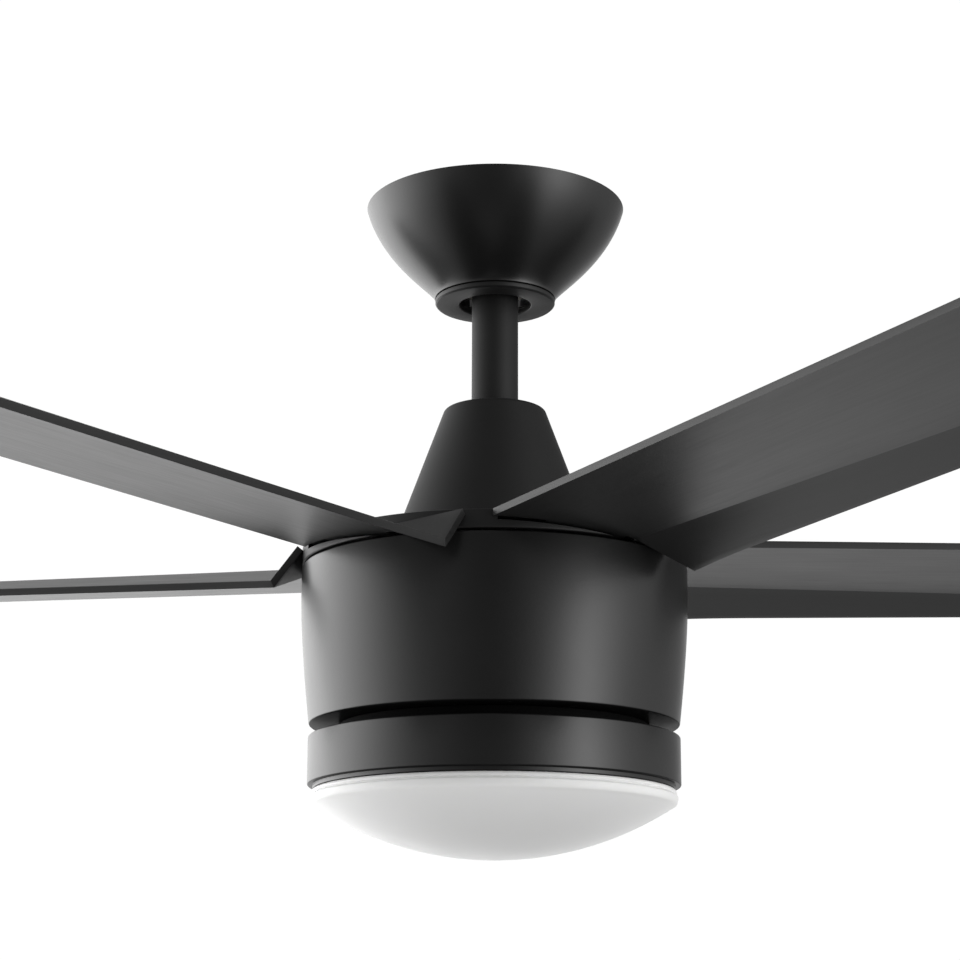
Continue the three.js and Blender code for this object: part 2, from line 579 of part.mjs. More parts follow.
function buildRotor() {
  const tongues = aroundHub(tongue(GAP));
  const pads = (low, high) => bladeScrewSpots.flatMap((spot) => aroundHub(tube(6, 0, low, high, spot)));
  const holes = bladeScrewSpots.flatMap((spot) => aroundHub(bladeScrewHole(spot)));

  const underPlate = HUB.top - HUB.plate;
  const hub = join(
    tube(HUB.radius, HUB.hole, underPlate, HUB.top, { sides: ROUND }),
    tube(HUB.radius, HUB.radius - HUB.rim, HUB.bottom, HUB.top, { sides: ROUND }),
    ...pads(-205, underPlate + 0.1),
  );
  add("blade_hub", cut(hub, ...tongues, ...holes), BLACK_PAINT);

  const { radius, top, split, bottom, wall } = CASE;
  const seatTop = top - wall;
  const shaftRoom = SHAFT.radius + 2;
  const bearingBore = SHAFT.radius + GAP;
  const cup = { outer: BEARING.radius + BEARING.wall, inner: BEARING.radius + GAP };
  const upper = { top: seatTop - 1, bottom: seatTop - 1 - BEARING.height };
  const lower = { top: bottom + wall + 1 + BEARING.height, bottom: bottom + wall + 1 };
  const caseTop = join(
    tube(radius, shaftRoom, seatTop, top, { sides: ROUND }),
    tube(radius, radius - wall, split + GAP, top, { sides: ROUND }),
    tube(cup.outer, cup.inner, upper.bottom, seatTop + 0.1),
    ...pads(seatTop, -206),
  );
  const caseBottom = join(
    tube(radius, shaftRoom, bottom, bottom + wall, { sides: ROUND }),
    tube(radius, radius - wall, bottom, split, { sides: ROUND }),
    tube(cup.outer, cup.inner, bottom + 0.1, lower.top),
  );
  const magnets = tube(MAGNET.outer, MAGNET.inner, MAGNET.bottom, MAGNET.top, { sides: ROUND });
  add("rotor_case_top", cut(caseTop, ...tongues, ...holes), ALUMINIUM);
  add("rotor_case_bottom", caseBottom, ALUMINIUM);
  add("magnet_ring", magnets, MAGNET_GREY);
  add("upper_bearing", tube(BEARING.radius, bearingBore, upper.bottom, upper.top), STEEL);
  add("lower_bearing", tube(BEARING.radius, bearingBore, lower.bottom, lower.top), STEEL);

  const fixing = { head: 4.2, shank: 2.2, length: 17 };
  const blade = bladeShape();
  for (let i = 0; i < BLADES; i++) {
    add(`blade_${i + 1}`, turned(blade, bladeHeading(i)), BLACK_BLADE);
    bladeScrewSpots.forEach(({ x, y }, k) => {
      const shape = screw(x, y, HUB.top + GAP, fixing);
      add(`blade_screw_${i + 1}_${k + 1}`, turned(shape, bladeHeading(i)), STEEL);
    });
  }
}

buildCeilingBracket();
buildDownrod();
buildStator();
buildHousing();
buildLight();
buildRotor();

export default fan;
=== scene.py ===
import math

import bmesh
import bpy
from mathutils import Matrix, Vector


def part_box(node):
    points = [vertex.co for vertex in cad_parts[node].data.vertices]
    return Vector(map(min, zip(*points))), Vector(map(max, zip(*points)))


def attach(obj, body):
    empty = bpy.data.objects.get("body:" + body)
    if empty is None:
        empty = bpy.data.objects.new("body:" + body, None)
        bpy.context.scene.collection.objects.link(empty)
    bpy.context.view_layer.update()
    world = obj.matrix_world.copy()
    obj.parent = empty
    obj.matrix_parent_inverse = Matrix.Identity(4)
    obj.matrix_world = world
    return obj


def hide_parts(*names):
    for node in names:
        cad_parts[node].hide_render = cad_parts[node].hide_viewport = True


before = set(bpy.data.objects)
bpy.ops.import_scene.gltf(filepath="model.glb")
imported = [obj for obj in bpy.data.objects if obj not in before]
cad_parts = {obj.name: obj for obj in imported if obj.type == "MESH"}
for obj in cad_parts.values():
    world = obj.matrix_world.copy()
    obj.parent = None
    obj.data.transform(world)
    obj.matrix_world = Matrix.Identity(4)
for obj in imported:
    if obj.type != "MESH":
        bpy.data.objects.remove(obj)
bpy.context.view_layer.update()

# A matt black ceiling fan with a light. The covers, hub, blades and screws are built here in finer
# detail than in the CAD frame, and the inner pieces keep their CAD shape. Lengths are in metres.

MM = 0.001
TINY = 1e-6
GAP = 0.3 * MM  # clearance between neighbouring pieces
PIN_HOLE = 2.9 * MM
PIN_HOLE_REACH = 40 * MM
ROUND = 192  # sides of a large turned piece
SMALL = 72  # sides of a screw or pin hole


# ---- mesh helpers -----------------------------------------------------------------------------


def new_object(name, mesh):
    obj = bpy.data.objects.new(name, mesh)
    bpy.context.scene.collection.objects.link(obj)
    return obj


def mark_sharp(mesh, degrees=32):
    """Smooth faces, with every fold over that angle kept as a hard edge."""
    bm = bmesh.new()
    bm.from_mesh(mesh)
    for face in bm.faces:
        face.smooth = True
    for edge in bm.edges:
        edge.smooth = len(edge.link_faces) != 2 or edge.calc_face_angle() < math.radians(degrees)
    bm.to_mesh(mesh)
    bm.free()


def mesh_from(name, points, faces):
    mesh = bpy.data.meshes.new(name)
    bm = bmesh.new()
    verts = [bm.verts.new(p) for p in points]
    for face in faces:
        bm.faces.new([verts[i] for i in face])
    bmesh.ops.recalc_face_normals(bm, faces=bm.faces)
    bm.to_mesh(mesh)
    bm.free()
    return mesh


def revolve(name, outline, sides=ROUND):
    """A closed outline of (radius, height), turned about Z. A point on the axis becomes one pole."""
    turn = 2 * math.pi / sides
    points, rings = [], []
    for r, z in outline:
        if r < TINY:
            rings.append([len(points)] * sides)
            points.append((0, 0, z))
        else:
            rings.append([len(points) + k for k in range(sides)])
            points.extend((r * math.cos(k * turn), r * math.sin(k * turn), z) for k in range(sides))
    faces = []
    for low, high in zip(rings, rings[1:] + rings[:1]):
        for k in range(sides):
            n = (k + 1) % sides
            corners = list(dict.fromkeys([low[k], low[n], high[n], high[k]]))
            if len(corners) > 2:
                faces.append(corners)
    mesh = mesh_from(name, points, faces)
    mark_sharp(mesh)
    return new_object(name, mesh)


def rounded(corners, steps=4):
    """A closed outline whose corners (radius, height, fillet) are rounded by their fillet."""
    out = []
    count = len(corners)
    for i, (r, z, fillet) in enumerate(corners):
        here = Vector((r, z))
        if not fillet:
            out.append(here)
            continue
        before = (Vector(corners[i - 1][:2]) - here).normalized()
        after = (Vector(corners[(i + 1) % count][:2]) - here).normalized()
        half = before.angle(after) / 2
        reach = fillet / math.tan(half)
        centre = here + (before + after).normalized() * (fillet / math.sin(half))
        start, end = here + before * reach - centre, here + after * reach - centre
        sweep = start.angle_signed(end)
        for k in range(steps + 1):
            t = -sweep * k / steps
            out.append(centre + Vector((
                start.x * math.cos(t) - start.y * math.sin(t),
                start.x * math.sin(t) + start.y * math.cos(t),
            )))
    return [(p.x, p.y) for p in out]


def ball_profile(centre, radius, low, high, steps):
    """The outline of a ball on the axis, between two heights."""
    a, b = (math.asin((z - centre) / radius) for z in (low, high))
    angles = [a + (b - a) * k / steps for k in range(steps + 1)]
    return [(radius * math.cos(t), centre + radius * math.sin(t)) for t in angles]


def bezier(p0, p1, p2, steps):
    """A quadratic curve from p0 to p2, pulled towards p1, without its first point."""
    out = []
    for k in range(1, steps + 1):
        t = k / steps
        first, middle, last = (1 - t) ** 2, 2 * t * (1 - t), t * t
        out.append(tuple(first * a + middle * b + last * c for a, b, c in zip(p0, p1, p2)))
    return out


def cubic(p0, p1, p2, p3, steps):
    """A cubic curve from p0 to p3, pulled towards p1 and p2."""
    out = []
    for k in range(steps + 1):
        t = k / steps
        shares = ((1 - t) ** 3, 3 * t * (1 - t) ** 2, 3 * t * t * (1 - t), t ** 3)
        pulls = list(zip(shares, (p0, p1, p2, p3)))
        out.append(tuple(sum(share * p[axis] for share, p in pulls) for axis in (0, 1)))
    return out


def inset(line, depth):
    """The same line moved to its inner side, for a line that runs downwards and inwards."""
    out = []
    for i, point in enumerate(line):
        along = Vector(line[min(i + 1, len(line) - 1)]) - Vector(line[max(i - 1, 0)])
        along.normalize()
        out.append((point[0] + along.y * depth, point[1] - along.x * depth))
    return out


def apply_modifiers(obj):
    bpy.context.view_layer.objects.active = obj
    for modifier in list(obj.modifiers):
        bpy.ops.object.modifier_apply(modifier=modifier.name)


def boolean(obj, tool, operation="DIFFERENCE"):
    modifier = obj.modifiers.new("cut", "BOOLEAN")
    modifier.operation = operation
    modifier.object = tool
    modifier.solver = "EXACT"
    apply_modifiers(obj)
    bpy.data.objects.remove(tool)
    return obj


def soften(obj, width, degrees, segments):
    """Small round edges wherever two faces meet at more than that angle."""
    modifier = obj.modifiers.new("edges", "BEVEL")
    modifier.width = width
    modifier.segments = segments
    modifier.limit_method = "ANGLE"
    modifier.angle_limit = math.radians(degrees)
    modifier.use_clamp_overlap = True
    apply_modifiers(obj)
    mark_sharp(obj.data, 38)
    return obj


def turned(obj, degrees):
    """The same object, with its mesh turned about Z."""
    obj.data.transform(Matrix.Rotation(math.radians(degrees), 4, "Z"))
    return obj


def round_cutter(radius, low, high, x=0.0, y=0.0):
    """An upright round cutter between two heights."""
    obj = revolve("hole", [(0, low), (radius, low), (radius, high), (0, high)], SMALL)
    obj.data.transform(Matrix.Translation((x, y, 0)))
    return obj


def mesh_box(name, low, high):
    """A cutter block between two corners."""
    xs, ys, zs = zip(low, high)
    points = [(x, y, z) for z in zs for y in ys for x in xs]
    faces = [(0, 2, 3, 1), (4, 5, 7, 6), (0, 1, 5, 4), (2, 6, 7, 3), (0, 4, 6, 2), (1, 3, 7, 5)]
    return new_object(name, mesh_from(name, points, faces))


def sector(name, inner, outer, half_width, low, high):
    """A piece of a ring across the X axis, between two radii and two heights."""
    reach = math.asin(half_width / outer)
    steps = 10
    angles = [reach * (2 * k / steps - 1) for k in range(steps + 1)]
    ring = [(outer * math.cos(a), outer * math.sin(a)) for a in angles]
    ring += [(inner * math.cos(a), inner * math.sin(a)) for a in angles[::-1]]
    return prism(name, ring, low, high)


def prism(name, ring, low, high):
    """A flat outline of (x, y), raised from low to high."""
    count = len(ring)
    points = [(x, y, low) for x, y in ring] + [(x, y, high) for x, y in ring]
    faces = [tuple(range(count))[::-1], tuple(range(count, 2 * count))]
    faces += [(k, (k + 1) % count, count + (k + 1) % count, count + k) for k in range(count)]
    return new_object(name, mesh_from(name, points, faces))


def cross_hole(obj, pin):
    """The hole along X for a pin that goes right through a piece."""
    low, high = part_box(pin)
    hole = round_cutter(PIN_HOLE, -PIN_HOLE_REACH, PIN_HOLE_REACH)
    hole.data.transform(Matrix.Rotation(math.pi / 2, 4, "Y"))
    hole.data.transform(Matrix.Translation((0, 0, (low.z + high.z) / 2)))
    boolean(obj, hole)


# ---- materials --------------------------------------------------------------------------------


class Nodes:
    """Builds one material's node tree round its Principled shader. Scales are in features per metre."""

    def __init__(self, name):
        self.material = bpy.data.materials.new(name)
        self.material.use_nodes = True
        self.tree = self.material.node_tree
        self.shader = self.tree.nodes["Principled BSDF"]
        coordinates = self.tree.nodes.new("ShaderNodeTexCoord")
        self.place = coordinates.outputs["Object"]
        self.facing = coordinates.outputs["Normal"]

    def set(self, key, value):
        self.shader.inputs[key].default_value = value

    def stretched(self, x, y, z):
        """The place, with its own scale along each axis."""
        node = self.tree.nodes.new("ShaderNodeMapping")
        node.inputs["Scale"].default_value = (x, y, z)
        self.tree.links.new(self.place, node.inputs["Vector"])
        return node.outputs["Vector"]

    def noise(self, scale, detail=3.0, roughness=0.5, place=None):
        node = self.tree.nodes.new("ShaderNodeTexNoise")
        node.inputs["Scale"].default_value = scale
        node.inputs["Detail"].default_value = detail
        node.inputs["Roughness"].default_value = roughness
        self.tree.links.new(place or self.place, node.inputs["Vector"])
        return node.outputs["Fac"]

    def level_bands(self, scale, distortion):
        node = self.tree.nodes.new("ShaderNodeTexWave")
        node.bands_direction = "Z"
        node.inputs["Scale"].default_value = scale
        node.inputs["Distortion"].default_value = distortion
        self.tree.links.new(self.place, node.inputs["Vector"])
        return node.outputs["Fac"]

    def cells(self, scale, place=None):
        node = self.tree.nodes.new("ShaderNodeTexVoronoi")
        node.inputs["Scale"].default_value = scale
        self.tree.links.new(place or self.place, node.inputs["Vector"])
        return node.outputs["Distance"]

    def ramp(self, value, low, high, colours):
        """A colour between two, as the value goes from low to high."""
        node = self.tree.nodes.new("ShaderNodeValToRGB")
        node.color_ramp.elements[0].position = low
        node.color_ramp.elements[1].position = high
        for element, colour in zip(node.color_ramp.elements, colours):
            element.color = (*colour, 1)
        self.tree.links.new(value, node.inputs["Fac"])
        return node.outputs["Color"]

    def span(self, value, low, high, start=0.3, end=0.7):
        """A number that runs from low to high as the value goes from start to end."""
        node = self.tree.nodes.new("ShaderNodeMapRange")
        node.inputs["From Min"].default_value = start
        node.inputs["From Max"].default_value = end
        node.inputs["To Min"].default_value = low
        node.inputs["To Max"].default_value = high
        self.tree.links.new(value, node.inputs["Value"])
        return node.outputs["Result"]

    def vertical(self, vector):
        node = self.tree.nodes.new("ShaderNodeSeparateXYZ")
        self.tree.links.new(vector, node.inputs[0])
        return node.outputs["Z"]

    def rise(self, low, high):
        """A number that runs from 0 to 1 between two heights."""
        return self.span(self.vertical(self.place), 0.0, 1.0, low, high)

    def flatness(self, on_edge, on_face):
        """A number for the steep narrow edges of a sheet, and another for its broad faces."""
        node = self.tree.nodes.new("ShaderNodeMath")
        node.operation = "ABSOLUTE"
        self.tree.links.new(self.vertical(self.facing), node.inputs[0])
        return self.span(node.outputs["Value"], on_edge, on_face, 0.35, 0.75)

    def add(self, a, b, share):
        """The first value plus a share of the second."""
        node = self.tree.nodes.new("ShaderNodeMath")
        node.operation = "MULTIPLY_ADD"
        node.inputs[1].default_value = share
        self.tree.links.new(b, node.inputs[0])
        self.tree.links.new(a, node.inputs[2])
        return node.outputs["Value"]

    def colour(self, value):
        self.tree.links.new(value, self.shader.inputs["Base Color"])

    def specular(self, value):
        self.tree.links.new(value, self.shader.inputs["Specular IOR Level"])

    def roughness(self, value):
        self.tree.links.new(value, self.shader.inputs["Roughness"])

    def bump(self, height, depth, strength):
        node = self.tree.nodes.new("ShaderNodeBump")
        node.inputs["Strength"].default_value = strength
        node.inputs["Distance"].default_value = depth
        self.tree.links.new(height, node.inputs["Height"])
        self.tree.links.new(node.outputs["Normal"], self.shader.inputs["Normal"])


def grey(level):
    return level, level, level


def powder_coat(name, dark, light, rough, specular=0.5, on_flat=None):
    """Black powder coat: a fine orange peel, faint clouds in its colour, and handling marks.

    `on_flat` is the specular level of level faces, where it isn't that of the walls; the drum and the
    band keep it low as painted shade in the groove between them.
    """
    n = Nodes(name)
    clouds = n.noise(22, 4, 0.6)
    grain = n.noise(1900, 2, 0.5)
    n.colour(n.ramp(n.add(clouds, grain, 0.25), 0.35, 0.95, [grey(dark), grey(light)]))
    n.roughness(n.span(n.noise(9, 5, 0.6), rough - 0.035, rough + 0.035))
    n.bump(n.add(n.noise(620, 2, 0.4), grain, 0.5), 0.05 * MM, 0.35)
    n.set("IOR", 1.5)
    n.set("Specular IOR Level", specular)
    if on_flat is not None:
        n.specular(n.flatness(specular, on_flat))
    return n.material


def blade_finish(name):
    """Matt black blade: a fine grain along it, a faint pebble and duller edges."""
    n = Nodes(name)
    drawn = n.noise(1, 4, 0.55, n.stretched(14, 520, 520))
    pebble = n.noise(1500, 2, 0.5)
    n.colour(n.ramp(n.add(drawn, pebble, 0.3), 0.35, 1.0, [grey(0.010), grey(0.017)]))
    n.roughness(n.span(drawn, 0.37, 0.43))
    n.specular(n.flatness(0.28, 0.5))
    n.bump(n.add(drawn, pebble, 0.7), 0.05 * MM, 0.3)
    n.set("IOR", 1.5)
    return n.material


def opal(name, bottom, top):
    """Unlit opal bowl: milky body with a faint ripple and specks, and painted light: lighter towards
    the rim and darker at the cap, standing in for how the light falls on it.
    """
    n = Nodes(name)
    # Painted light: the colour runs lighter from the cap up to the rim, for how the light falls on the
    # bowl.
    height = n.rise(bottom, top)
    milk = n.add(n.noise(14, 3, 0.5), n.noise(900, 2, 0.5), 0.15)
    colours = [(0.67, 0.67, 0.665), (0.87, 0.87, 0.86)]
    n.colour(n.ramp(n.add(height, milk, 0.25), 0.1, 1.1, colours))
    n.roughness(n.span(n.noise(30, 4, 0.6), 0.30, 0.38))
    n.bump(n.noise(260, 3, 0.5), 0.04 * MM, 0.25)
    n.set("IOR", 1.5)
    n.set("Specular IOR Level", 0.18)
    n.set("Subsurface Weight", 0.35)
    n.set("Subsurface Radius", (0.006, 0.006, 0.0055))
    n.set("Subsurface Scale", 1.0)
    return n.material


def plated(name, dark, light, rough, brush=(6, 6, 900), depth=0.03):
    """Bare or plated metal with drawn marks and cloudy tarnish. The depth is in millimetres."""
    n = Nodes(name)
    marks = n.noise(1, 3, 0.5, n.stretched(*brush))
    tarnish = n.noise(55, 5, 0.65)
    n.colour(n.ramp(n.add(tarnish, marks, 0.4), 0.4, 1.0, [dark, light]))
    n.roughness(n.span(n.add(marks, tarnish, 0.5), rough - 0.05, rough + 0.12))
    n.bump(n.add(marks, tarnish, 0.3), depth * MM, 0.5)
    n.set("Metallic", 1.0)
    return n.material


def moulded(name, dark, light, rough):
    """Moulded plastic with a fine spark-eroded grain."""
    n = Nodes(name)
    spark = n.noise(2400, 3, 0.6)
    n.colour(n.ramp(n.add(n.noise(40, 3, 0.5), spark, 0.3), 0.35, 0.95, [dark, light]))
    n.roughness(n.span(spark, rough - 0.06, rough + 0.06))
    n.bump(spark, 0.03 * MM, 0.5)
    return n.material


def windings(name):
    """Enamelled copper wire: close turns, each with its own shade."""
    n = Nodes(name)
    turns = n.level_bands(620, 0.6)
    colours = [(0.20, 0.06, 0.025), (0.62, 0.26, 0.11)]
    n.colour(n.ramp(n.add(turns, n.noise(500, 2), 0.5), 0.1, 1.2, colours))
    n.roughness(n.span(turns, 0.28, 0.42))
    n.bump(turns, 0.25 * MM, 0.8)
    n.set("Metallic", 0.8)
    return n.material


def ferrite(name):
    """Ground ferrite: fine pits in a dull dark grey."""
    n = Nodes(name)
    pits = n.cells(1500)
    colours = [(0.035, 0.035, 0.038), (0.11, 0.11, 0.115)]
    n.colour(n.ramp(n.add(pits, n.noise(300, 3), 0.6), 0.2, 1.1, colours))
    n.roughness(n.span(n.noise(90, 4), 0.5, 0.68))
    n.bump(pits, 0.05 * MM, 0.6)
    n.set("Metallic", 0.3)
    return n.material


def circuit_board(name):
    """White solder mask over a faint copper pour."""
    n = Nodes(name)
    tracks = n.cells(95, n.stretched(1, 1, 0.01))
    colours = [(0.62, 0.64, 0.61), (0.80, 0.81, 0.79)]
    n.colour(n.ramp(n.add(tracks, n.noise(600, 2), 0.3), 0.25, 0.9, colours))
    n.roughness(n.span(n.noise(70, 3), 0.3, 0.42))
    n.bump(tracks, 0.05 * MM, 0.4)
    return n.material


SATIN = (0.0055, 0.0095, 0.32)  # dark, light and roughness of the main coat
PAINT = powder_coat("black powder coat", *SATIN)
PAINT_ROD = powder_coat("black rod paint", 0.007, 0.011, 0.62, specular=0.3)
# A darker, duller matt coat for the trim ring and the hub; on the hub it is also painted shade, for its
# wall in the shade under the blades' roots.
PAINT_MATT = powder_coat("matt black paint", 0.005, 0.008, 0.48, specular=0.36)
# Painted shade: the drum's and the band's level faces reflect almost nothing, for the dark groove
# between them.
PAINT_DRUM = powder_coat("black drum paint", *SATIN, on_flat=0.006)
PAINT_BAND = powder_coat("black band paint", *SATIN, on_flat=0.03)
# Painted shade: the neck's coat is darker and duller than the drum's, for the deep shade in the groove
# between the drum and the light ring.
PAINT_NECK_SHADE = powder_coat("black neck paint with painted shade", 0.003, 0.005, 0.70, specular=0.06)
BLADE = blade_finish("black blade")
# The bowl's colour is painted lighter from its bottom up to its top, as painted light.
OPAL = opal("opal bowl", bottom=-366.9 * MM, top=-335 * MM)
ZINC = plated("zinc plate", (0.36, 0.37, 0.38), (0.60, 0.61, 0.62), 0.34, brush=(300, 20, 20))
STEEL = plated("turned steel", (0.30, 0.31, 0.32), (0.52, 0.53, 0.55), 0.28)
SCREW = plated("black oxide screw", (0.012, 0.012, 0.013), (0.035, 0.035, 0.037), 0.34)
LAMINATION = plated(
    "core lamination", (0.16, 0.17, 0.19), (0.34, 0.35, 0.37), 0.38, brush=(4, 4, 2600), depth=0.15
)
CAST = plated("die cast", (0.46, 0.47, 0.48), (0.68, 0.69, 0.71), 0.42, brush=(160, 160, 160))
COPPER = windings("copper windings")
FERRITE = ferrite("ferrite")
BOARD = circuit_board("circuit board")
BLACK_PLASTIC = moulded("black plastic", grey(0.016), grey(0.030), 0.48)
NYLON = moulded("natural nylon", (0.52, 0.50, 0.45), (0.66, 0.64, 0.58), 0.42)


def give(obj, material):
    obj.data.materials.clear()
    obj.data.materials.append(material)
    return obj


def finished(obj, material, slot, body, *nodes):
    """The piece gets its material, rides on its body and stands for its CAD nodes."""
    give(obj, material)
    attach(obj, body)
    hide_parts(*nodes)
    return obj


def size(node):
    """Outer radius, bottom and top of a turned CAD node."""
    low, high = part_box(node)
    return high.x, low.z, high.z


# ---- turned pieces ----------------------------------------------------------------------------

# The canopy's dome is one curve from rim to neck, drawn towards two points (radius, height).
CANOPY_PULLS = ((64 * MM, -30.7 * MM), (34.5 * MM, -46.5 * MM))
CANOPY_WALL = 1.5 * MM
CANOPY_NECK = 34.2 * MM
CANOPY_SCREW = 26.5 * MM  # from the axis to a screw
CANOPY_SCREW_HOLE = 2.1 * MM

RING_BORE = 20.3 * MM
RING_GROOVE = (22.6 * MM, 30.4 * MM)  # room for the canopy screws' heads
RING_FLOOR = 1.3 * MM
RING_CHAMFER = 0.9 * MM

ROD_BORE = 10.9 * MM

CONE_TOP_RADIUS = 28 * MM
CONE_HOLE = 13.9 * MM
CONE_WALL = 1.6 * MM

HOUSING_WALL = 2 * MM
HOUSING_FOOT = 100.3 * MM
HOUSING_STRAIGHT = 14 * MM  # from the top down to where the wall starts to lean
HOUSING_PULL = 38 * MM  # from the top down to the point that its lean is drawn towards
SHAFT_HOLE = 8.8 * MM
COVER_SCREW_HOLE = 2.2 * MM

NECK_INNER = 72 * MM

BAND_LIP = 97.3 * MM
BAND_STEP = -328.5 * MM
BAND_BORE = 94.2 * MM
BAND_WALL = 3 * MM
BAND_PLATE = 2.2 * MM
BAND_HOLE = 11 * MM

BOWL_NECK = 93.7 * MM
BOWL_WALL = 2.6 * MM
BOWL_SHOULDER = -331.1 * MM
CAP_RIM = 96.4 * MM  # where the bowl's side meets its domed cap
CAP_TOP = -339 * MM

# The bayonet: the light ring's lip has three notches, and the bowl's neck three lugs.
NOTCH_ANGLES = (50, 170, 290)
NOTCH_RADII = (88 * MM, 96.6 * MM)
NOTCH_HALF = 13 * MM
LUG_ANGLES = (30, 150, 270)
LUG_ROOT = 0.8 * MM  # how deep in the neck's wall a lug starts
LUG_RADIUS = 96.3 * MM
LUG_HALF = 11 * MM
LUG_HEIGHTS = (-327.7 * MM, -325.5 * MM)

BALL_CENTRE = -33 * MM
BALL_BORE = 13.4 * MM
BALL_KEY = ((-4 * MM, -30 * MM, -70 * MM), (4 * MM, -19 * MM, 0))  # corners of the key's slot
SET_SCREW_HOLE = 2 * MM
SET_SCREW_PLACE = 17.5 * MM  # from the axis, towards +Y


def make_canopy():
    rim, floor, top = size("canopy")
    wall = CANOPY_WALL
    outer = cubic((rim, top), *CANOPY_PULLS, (CANOPY_NECK, floor), 48)
    inner = inset(outer, wall)
    inner = [(r, z) for r, z in inner if z > floor + wall and r > CANOPY_NECK - 2 * wall]
    inner[0] = (rim - wall, top)
    bore = RING_BORE + 1.2 * MM
    bottom = rounded([
        (*outer[-2], 0),
        (CANOPY_NECK, floor, 0.25 * MM),
        (bore, floor, 0.4 * MM),
        (bore, floor + wall, 0.4 * MM),
        (inner[-1][0] + 0.3 * MM, floor + wall, 0.3 * MM),
        (*inner[-1], 0),
    ])
    shell = revolve("canopy_shell", outer[:-2] + bottom + inner[-2::-1])
    for x in (-CANOPY_SCREW, CANOPY_SCREW):
        boolean(shell, round_cutter(CANOPY_SCREW_HOLE, floor - 2 * MM, floor + 4 * MM, x))
    mark_sharp(shell.data)
    finished(shell, PAINT, "black_paint", "ceiling_mount", "canopy")


def make_canopy_ring():
    """The trim ring under the canopy: a flat underside, a chamfered edge and a groove above."""
    radius, bottom, top = size("canopy_ring")
    groove_inner, groove_outer = RING_GROOVE
    floor = bottom + RING_FLOOR
    ring = revolve("canopy_trim_ring", rounded([
        (RING_BORE, bottom, 0.5 * MM),
        (radius - RING_CHAMFER, bottom, 0.35 * MM),
        (radius, bottom + RING_CHAMFER, 0.35 * MM),
        (radius, top, 0.6 * MM),
        (groove_outer, top, 0.2 * MM),
        (groove_outer, floor, 0.2 * MM),
        (groove_inner, floor, 0.2 * MM),
        (groove_inner, top, 0.2 * MM),
        (RING_BORE, top, 0.3 * MM),
    ]))
    finished(ring, PAINT_MATT, "black_paint", "ceiling_mount", "canopy_ring")


def make_downrod():
    radius, bottom, top = size("downrod")
    outline = rounded([
        (ROD_BORE, bottom, 0.3 * MM),
        (radius, bottom, 0.6 * MM),
        (radius, top, 0.6 * MM),
        (ROD_BORE, top, 0.3 * MM),
    ])
    rod = revolve("downrod_tube", outline, ROUND // 2)
    for pin in ("ball_pin", "yoke_pin"):
        cross_hole(rod, pin)
    mark_sharp(rod.data)
    finished(rod, PAINT_ROD, "black_paint", "hanging", "downrod")


def make_cone():
    radius, bottom, top = size("coupling_cover")
    cone = revolve("coupling_cone", rounded([
        (CONE_HOLE, top, 0.5 * MM),
        (CONE_TOP_RADIUS, top, 3.4 * MM),
        (radius, bottom, 0.5 * MM),
        (radius - CONE_WALL, bottom, 0.5 * MM),
        (CONE_TOP_RADIUS - CONE_WALL, top - CONE_WALL, 2.4 * MM),
        (CONE_HOLE, top - CONE_WALL, 0.4 * MM),
    ], 10))
    finished(cone, PAINT_ROD, "black_paint", "hanging", "coupling_cover")


def make_housing():
    """The drum: its wall is straight at the top and leans in towards its foot."""
    radius, bottom, top = size("motor_housing")
    inside, floor = radius - HOUSING_WALL, bottom + HOUSING_WALL
    foot, edge = HOUSING_FOOT, 1.2 * MM
    straight, pull = top - HOUSING_STRAIGHT, top - HOUSING_PULL
    outer = bezier((radius, straight), (radius, pull), (foot, bottom + edge), 28)
    inner = bezier((inside, straight), (inside, pull), (foot - HOUSING_WALL, floor), 28)
    outline = (
        rounded([(inside, top, 0.3 * MM), (radius, top, 0.8 * MM), (radius, straight, 0)])
        + outer
        + bezier((foot, bottom + edge), (foot - 0.1 * MM, bottom), (foot - edge, bottom), 8)
        + [(SHAFT_HOLE, bottom), (SHAFT_HOLE, floor)]
        + inner[::-1]
        + [(inside, straight)]
    )
    housing = revolve("motor_drum", outline)
    cut_three_holes(housing)
    finished(housing, PAINT_DRUM, "black_paint", "hanging", "motor_housing")


def cut_three_holes(obj):
    """Clearance holes for the screws that tie the housing, the neck and the light ring."""
    for number in (1, 2, 3):
        low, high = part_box(f"housing_screw_{number}")
        x, y, _ = (low + high) / 2
        boolean(obj, round_cutter(COVER_SCREW_HOLE, low.z - 8 * MM, high.z + 8 * MM, x, y))
    mark_sharp(obj.data)


def make_neck():
    radius, bottom, top = size("housing_neck")
    outline = rounded([
        (NECK_INNER, bottom, 0.4 * MM),
        (radius, bottom, 0.3 * MM),
        (radius, top, 0.3 * MM),
        (NECK_INNER, top, 0.4 * MM),
    ])
    neck = revolve("recessed_neck", outline)
    cut_three_holes(neck)
    # The neck's darker coat is painted shade for the groove.
    finished(neck, PAINT_NECK_SHADE, "black_paint", "hanging", "housing_neck")


def make_light_ring():
    radius, bottom, top = size("light_ring")
    inside, ceiling = radius - BAND_WALL, top - BAND_PLATE
    outline = rounded([
        (BAND_HOLE, top, 0.3 * MM),
        (radius, top, 0.9 * MM),
        (radius, BAND_STEP, 0.9 * MM),
        (BAND_LIP, BAND_STEP, 0.25 * MM),
        (BAND_LIP, bottom, 0.5 * MM),
        (BAND_BORE, bottom, 0.3 * MM),
        (BAND_BORE, BAND_STEP, 0.3 * MM),
        (inside, BAND_STEP + 0.6 * MM, 0.3 * MM),
        (inside, ceiling, 1.2 * MM),
        (BAND_HOLE, ceiling, 0.3 * MM),
    ])
    ring = revolve("light_band", outline)
    cut_three_holes(ring)
    for angle in NOTCH_ANGLES:
        notch = sector("notch", *NOTCH_RADII, NOTCH_HALF, bottom - MM, BAND_STEP + 2 * MM)
        boolean(ring, turned(notch, angle))
    mark_sharp(ring.data)
    finished(ring, PAINT_BAND, "black_paint", "hanging", "light_ring")


